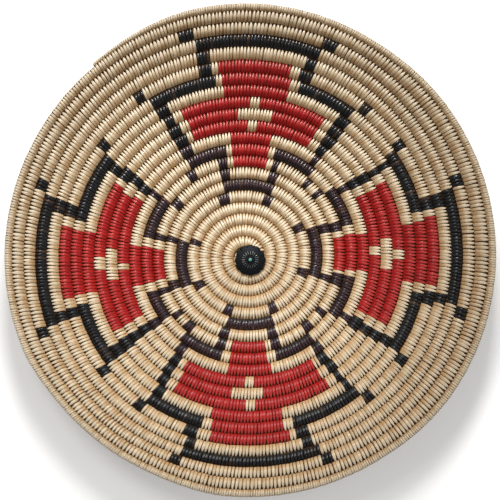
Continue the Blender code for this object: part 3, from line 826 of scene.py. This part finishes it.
def fibre_colour(name, description, hex_colour):
    """A colour property with an sRGB default."""
    return FloatVectorProperty(name=name, description=description, size=4, subtype="COLOR",
                               default=rgb(hex_colour), min=0, max=1)


class FibreSettings(bpy.types.PropertyGroup):
    # The rubbed-crest colours below are paler than the plain ones: partly rubbing, partly a painted highlight
    straw: fibre_colour("Straw", "Undyed splint", "#E8D2AE")
    straw_worn_and_lit: fibre_colour("Worn straw", "Undyed splint on the rubbed crest", "#FAE8CA")
    red: fibre_colour("Red", "Red splint", "#BA1D17")
    red_worn_and_lit: fibre_colour("Worn red", "Red splint on the rubbed crest", "#CA4641")
    black: fibre_colour("Black", "Black splint", "#121314")
    black_worn_and_lit: fibre_colour("Worn black", "Black splint on the rubbed crest", "#232224")
    aubergine: fibre_colour("Aubergine", "Dark brown splint", "#271215")
    aubergine_worn_and_lit: fibre_colour("Worn aubergine", "Dark brown splint on the rubbed crest", "#4A343A")


class ConchoSettings(bpy.types.PropertyGroup):
    ray_depth: FloatProperty(name="Ray depth", description="Height of the stamped rays", default=RAY_DEPTH,
                             min=0.0, subtype="DISTANCE", unit="LENGTH")
    rays: IntProperty(name="Rays", description="Number of stamped rays round the stone", default=RAYS, min=3)


def register_settings():
    bpy.types.Scene.basket_stitches = PointerProperty(type=StitchSettings)
    bpy.types.Scene.basket_fibres = PointerProperty(type=FibreSettings)
    bpy.types.Scene.basket_concho = PointerProperty(type=ConchoSettings)


class BASKET_OT_stage(bpy.types.Operator):
    """Sets the camera, the lamps, the world and the floor"""

    bl_idname = "basket.stage"
    bl_label = "Stage"

    def execute(self, context):
        scene = context.scene
        scene.view_settings.view_transform = "Standard"
        aim = Vector(CAMERA_AIM)
        lens = bpy.data.cameras.new("view")
        lens.sensor_fit = "HORIZONTAL"
        lens.angle = 2 * math.atan(FRAME_WIDTH / 2 / CAMERA_DISTANCE)
        lens.clip_end = CAMERA_REACH
        camera = bpy.data.objects.new("view", lens)
        camera.location = aim + CAMERA_DISTANCE * Vector((0, -math.sin(CAMERA_TILT), math.cos(CAMERA_TILT)))
        camera.rotation_euler = (CAMERA_TILT, 0, 0)
        scene.collection.objects.link(camera)
        scene.camera = camera
        for lamp in LAMPS:
            self.add_lamp(scene, *lamp)
        world = bpy.data.worlds.new("studio")
        scene.world = world
        world.use_nodes = True
        tree = world.node_tree
        seen = seen_directly(tree, "Is Camera Ray", "Is Transmission Ray")
        sky = tree.nodes["Background"]
        sky.inputs["Color"].default_value = (1, 1, 1, 1)
        tree.links.new(ranged(tree, seen, low=WORLD_STRENGTH, high=1.0), sky.inputs["Strength"])
        bm = bmesh.new()
        bmesh.ops.create_grid(bm, x_segments=FLOOR_GRID, y_segments=FLOOR_GRID, size=FLOOR_HALF_SIZE)
        bmesh.ops.translate(bm, vec=(0, 0, -FLOOR_GAP), verts=bm.verts[:])
        mesh = bpy.data.meshes.new("floor")
        bm.to_mesh(mesh)
        bm.free()
        mesh.materials.append(pale_floor())
        floor = bpy.data.objects.new("floor", mesh)
        scene.collection.objects.link(floor)
        return {"FINISHED"}

    def add_lamp(self, scene, name, place, size, power):
        """A square softbox aimed at the basket."""
        light = bpy.data.lights.new(name, "AREA")
        light.shape = "SQUARE"
        light.size = size
        light.energy = power
        made = bpy.data.objects.new(name, light)
        made.location = place
        made.rotation_euler = (-Vector(place)).to_track_quat("-Z", "Y").to_euler()
        scene.collection.objects.link(made)


class BASKET_OT_bundle(bpy.types.Operator):
    """Lays the bundle of grass that shows between the stitches, coloured dark as painted shade"""

    bl_idname = "basket.bundle"
    bl_label = "Grass bundle"

    def execute(self, context):
        steps = int((END_TURN - START_TURN) * BUNDLE_STEPS_PER_TURN)
        bm = bmesh.new()
        bmesh.ops.create_grid(bm, x_segments=steps, y_segments=BUNDLE_SIDES, size=0.5)
        mesh = bpy.data.meshes.new("grass_bundle")
        length = END_TURN - START_TURN - BUNDLE_SHORT_TURNS
        for vert in bm.verts:
            turn = START_TURN + BUNDLE_START_TURNS + length * (vert.co.x + 0.5)
            vert.co = (turn, vert.co.y * 2 * math.pi, 0)
        places = np.array([vert.co[:] for vert in bm.verts])
        share = coil_share(places[:, 0])
        across = (BUNDLE_MIDDLE - BUNDLE_HALF_WIDTH * np.cos(places[:, 1])) * MM * share
        across = across + end_shift(places[:, 0], share)
        lift = BUNDLE_HALF_HEIGHT * MM * np.sin(places[:, 1]) * share
        for vert, place in zip(bm.verts, on_coil(places[:, 0], across, lift)):
            vert.co = place
        layer = bm.loops.layers.uv.new("stems")
        for face in bm.faces:
            for loop in face.loops:
                turn, round_it, _ = places[loop.vert.index]
                loop[layer].uv = (turn * STEM_METRES_PER_TURN, round_it * STEM_RADIUS * MM)
        bmesh.ops.remove_doubles(bm, verts=bm.verts[:], dist=MERGE)
        ends = [edge for edge in bm.edges if edge.is_boundary]
        bmesh.ops.holes_fill(bm, edges=ends, sides=0)
        bmesh.ops.recalc_face_normals(bm, faces=bm.faces[:])
        bm.to_mesh(mesh)
        bm.free()
        mesh.shade_smooth()
        made = finished("grass_bundle", mesh, grass_bundle())
        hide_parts("straw_coil")
        return {"FINISHED"}


class BASKET_OT_straw(bpy.types.Operator):
    """Wraps the undyed stitches, a band of rows at a time"""

    bl_idname = "basket.straw"
    bl_label = "Straw stitches"

    def execute(self, context):
        turns, fields = all_fields()
        finish = splint_of(context.scene.basket_fibres, "straw")
        for (fibre, zone), numbers in fields.items():
            if fibre != "straw":
                continue
            name = f"straw_stitches_{zone}"
            made = lay_stitches(name, numbers, turns, finish, context.scene.basket_stitches)
            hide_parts("straw_coil")
        return {"FINISHED"}


class BASKET_OT_dyed(bpy.types.Operator):
    """Wraps the dyed stitches of the four motifs"""

    bl_idname = "basket.dyed"
    bl_label = "Dyed stitches"

    def execute(self, context):
        turns, fields = all_fields()
        colours = context.scene.basket_fibres
        finishes = {fibre: splint_of(colours, fibre) for fibre in ("red", "black", "aubergine")}
        for (fibre, side), numbers in fields.items():
            if fibre == "straw":
                continue
            name = f"{fibre}_stitches_{side}"
            made = lay_stitches(name, numbers, turns, finishes[fibre], context.scene.basket_stitches)
            if fibre == "red":
                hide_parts(f"red_cross_{side}")
            else:
                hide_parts(f"{fibre}_band_{side}", f"{fibre}_bar_{side}_left",
                            f"{fibre}_bar_{side}_right")
        return {"FINISHED"}


class BASKET_OT_concho(bpy.types.Operator):
    """Stamps the scalloped silver concho, and sets its stone in a bezel"""

    bl_idname = "basket.concho"
    bl_label = "Concho and stone"

    def execute(self, context):
        settings = context.scene.basket_concho
        silver = blackened_silver()
        low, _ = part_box("concho")
        seat = low[2] + CONCHO_SHEET
        self.shell(settings, seat, silver)
        self.bezel(silver)
        self.stone()
        return {"FINISHED"}

    def shell(self, settings, seat, silver):
        """The domed disc: scalloped edge, fluted border and a ring of stamped rays."""
        profile = [(CONCHO_RADIUS * ring / SHELL_RINGS, 0) for ring in range(SHELL_RINGS + 1)]
        bm = turned(profile, STEPS_PER_SCALLOP * SCALLOPS)
        polish = bm.verts.layers.float.new("polish")
        for vert in bm.verts:
            radius = math.hypot(vert.co.x, vert.co.y)
            angle = math.atan2(vert.co.y, vert.co.x)
            outer = max(radius - CONCHO_LAND_RADIUS, 0) / (CONCHO_RADIUS - CONCHO_LAND_RADIUS)
            height = CONCHO_DOME * max(math.cos(min(outer, 1) * math.pi / 2), 0)
            wave = 1 - abs(math.cos(angle * SCALLOPS / 2))
            near_rim = max(0, 1 - (CONCHO_RADIUS - radius) / SCALLOP_BAND)
            height -= FLUTE_DEPTH * near_rim * wave ** 2
            ray = max(0, math.cos(angle * settings.rays)) ** RAY_SHARPNESS
            begun = ease(radius, RAY_INNER, RAY_INNER + RAY_INNER_FADE)
            ring = float(begun - ease(radius, RAY_OUTER - RAY_OUTER_FADE, RAY_OUTER))
            height += settings.ray_depth * ray * ring
            vert[polish] = RAY_POLISH * ray * ring + EDGE_POLISH * near_rim ** EDGE_SHARPNESS * (1 - wave)
            share = 1 - SCALLOP_DEPTH * near_rim * wave / radius if near_rim > 0 else 1
            x = vert.co.x * share + CONCHO_PLACE[0]
            y = vert.co.y * share + CONCHO_PLACE[1]
            vert.co = (x, y, seat + height)
        bmesh.ops.recalc_face_normals(bm, faces=bm.faces[:])
        if sum(face.normal.z for face in bm.faces) < 0:
            bmesh.ops.reverse_faces(bm, faces=bm.faces[:])
        mesh = bpy.data.meshes.new("concho_shell")
        bm.to_mesh(mesh)
        bm.free()
        mesh.shade_smooth()
        made = finished("concho_shell", mesh, silver)
        sheet = made.modifiers.new("Sheet", "SOLIDIFY")
        sheet.thickness = CONCHO_SHEET
        sheet.offset = -1
        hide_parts("concho")

    def bezel(self, silver):
        """The collar round the stone, drawn in at its top."""
        low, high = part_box("concho_bezel")
        outer = (high[0] - low[0]) / 2
        inner = outer - BEZEL_WALL
        height = high[2] - low[2]
        shoulder = BEZEL_SHOULDER_SHARE * height
        profile = [(inner, 0), (outer, 0), (outer, shoulder), (outer - BEZEL_DRAWN_IN, height),
                   (BEZEL_LIP_RADIUS + BEZEL_LIP_WIDTH, height + BEZEL_LIP_RISES[0]),
                   (BEZEL_LIP_RADIUS, height + BEZEL_LIP_RISES[1]),
                   (inner - BEZEL_UNDERCUT, BEZEL_UNDERCUT_SHARE * height)]
        bm = turned(profile + profile[:1], BEZEL_STEPS)
        bmesh.ops.translate(bm, vec=(*CONCHO_PLACE, low[2]), verts=bm.verts[:])
        bmesh.ops.recalc_face_normals(bm, faces=bm.faces[:])
        polish = bm.verts.layers.float.new("polish")
        for vert in bm.verts:
            vert[polish] = BEZEL_POLISH if vert.co.z > low[2] + shoulder else 0.0
        mesh = bpy.data.meshes.new("bezel_collar")
        bm.to_mesh(mesh)
        bm.free()
        mesh.shade_smooth()
        made = finished("bezel_collar", mesh, silver)
        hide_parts("concho_bezel")

    def stone(self):
        """The round cabochon: a low dome over a short girdle, flat below."""
        low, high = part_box("turquoise_cabochon")
        height = high[2] - low[2]
        girdle = GIRDLE_SHARE * height
        profile = [(STONE_RADIUS * math.sin(turn), girdle + (height - girdle) * math.cos(turn))
                   for turn in np.linspace(0, math.pi / 2, STONE_RINGS)]
        bm = turned(profile + [(STONE_RADIUS, 0), (0, 0)], STONE_STEPS)
        bmesh.ops.translate(bm, vec=(*CONCHO_PLACE, low[2]), verts=bm.verts[:])
        bmesh.ops.recalc_face_normals(bm, faces=bm.faces[:])
        mesh = bpy.data.meshes.new("turquoise_stone")
        bm.to_mesh(mesh)
        bm.free()
        mesh.shade_smooth()
        made = finished("turquoise_stone", mesh, turquoise_stone())
        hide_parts("turquoise_cabochon")


class BASKET_OT_fittings(bpy.types.Operator):
    """Gives the post and the back screw their steel"""

    bl_idname = "basket.fittings"
    bl_label = "Post and screw"

    def execute(self, context):
        steel = turned_steel()
        for name in ("concho_post", "back_screw"):
            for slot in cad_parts[name].material_slots:
                slot.material = steel
        return {"FINISHED"}


class BASKET_PT_panel(bpy.types.Panel):
    """Lists the basket's steps and their settings"""

    bl_label = "Coiled Tray Basket"
    bl_idname = "BASKET_PT_panel"
    bl_space_type = "VIEW_3D"
    bl_region_type = "UI"
    bl_category = "Basket"

    def draw(self, context):
        layout = self.layout
        for operator in STEPS:
            layout.operator(operator.bl_idname)
        for name in ("basket_stitches", "basket_fibres", "basket_concho"):
            box = layout.box()
            settings = getattr(context.scene, name)
            for key in settings.__annotations__:
                box.prop(settings, key)


STEPS = (BASKET_OT_stage, BASKET_OT_bundle, BASKET_OT_straw, BASKET_OT_dyed, BASKET_OT_concho,
         BASKET_OT_fittings)
CLASSES = (StitchSettings, FibreSettings, ConchoSettings, *STEPS, BASKET_PT_panel)


def register():
    for item in CLASSES:
        bpy.utils.register_class(item)
    register_settings()


def unregister():
    for name in ("basket_stitches", "basket_fibres", "basket_concho"):
        delattr(bpy.types.Scene, name)
    for item in reversed(CLASSES):
        bpy.utils.unregister_class(item)


def main():
    register()
    bpy.ops.basket.stage()
    bpy.ops.basket.bundle()
    bpy.ops.basket.straw()
    bpy.ops.basket.dyed()
    bpy.ops.basket.concho()
    bpy.ops.basket.fittings()


if __name__ == "__main__":
    main()
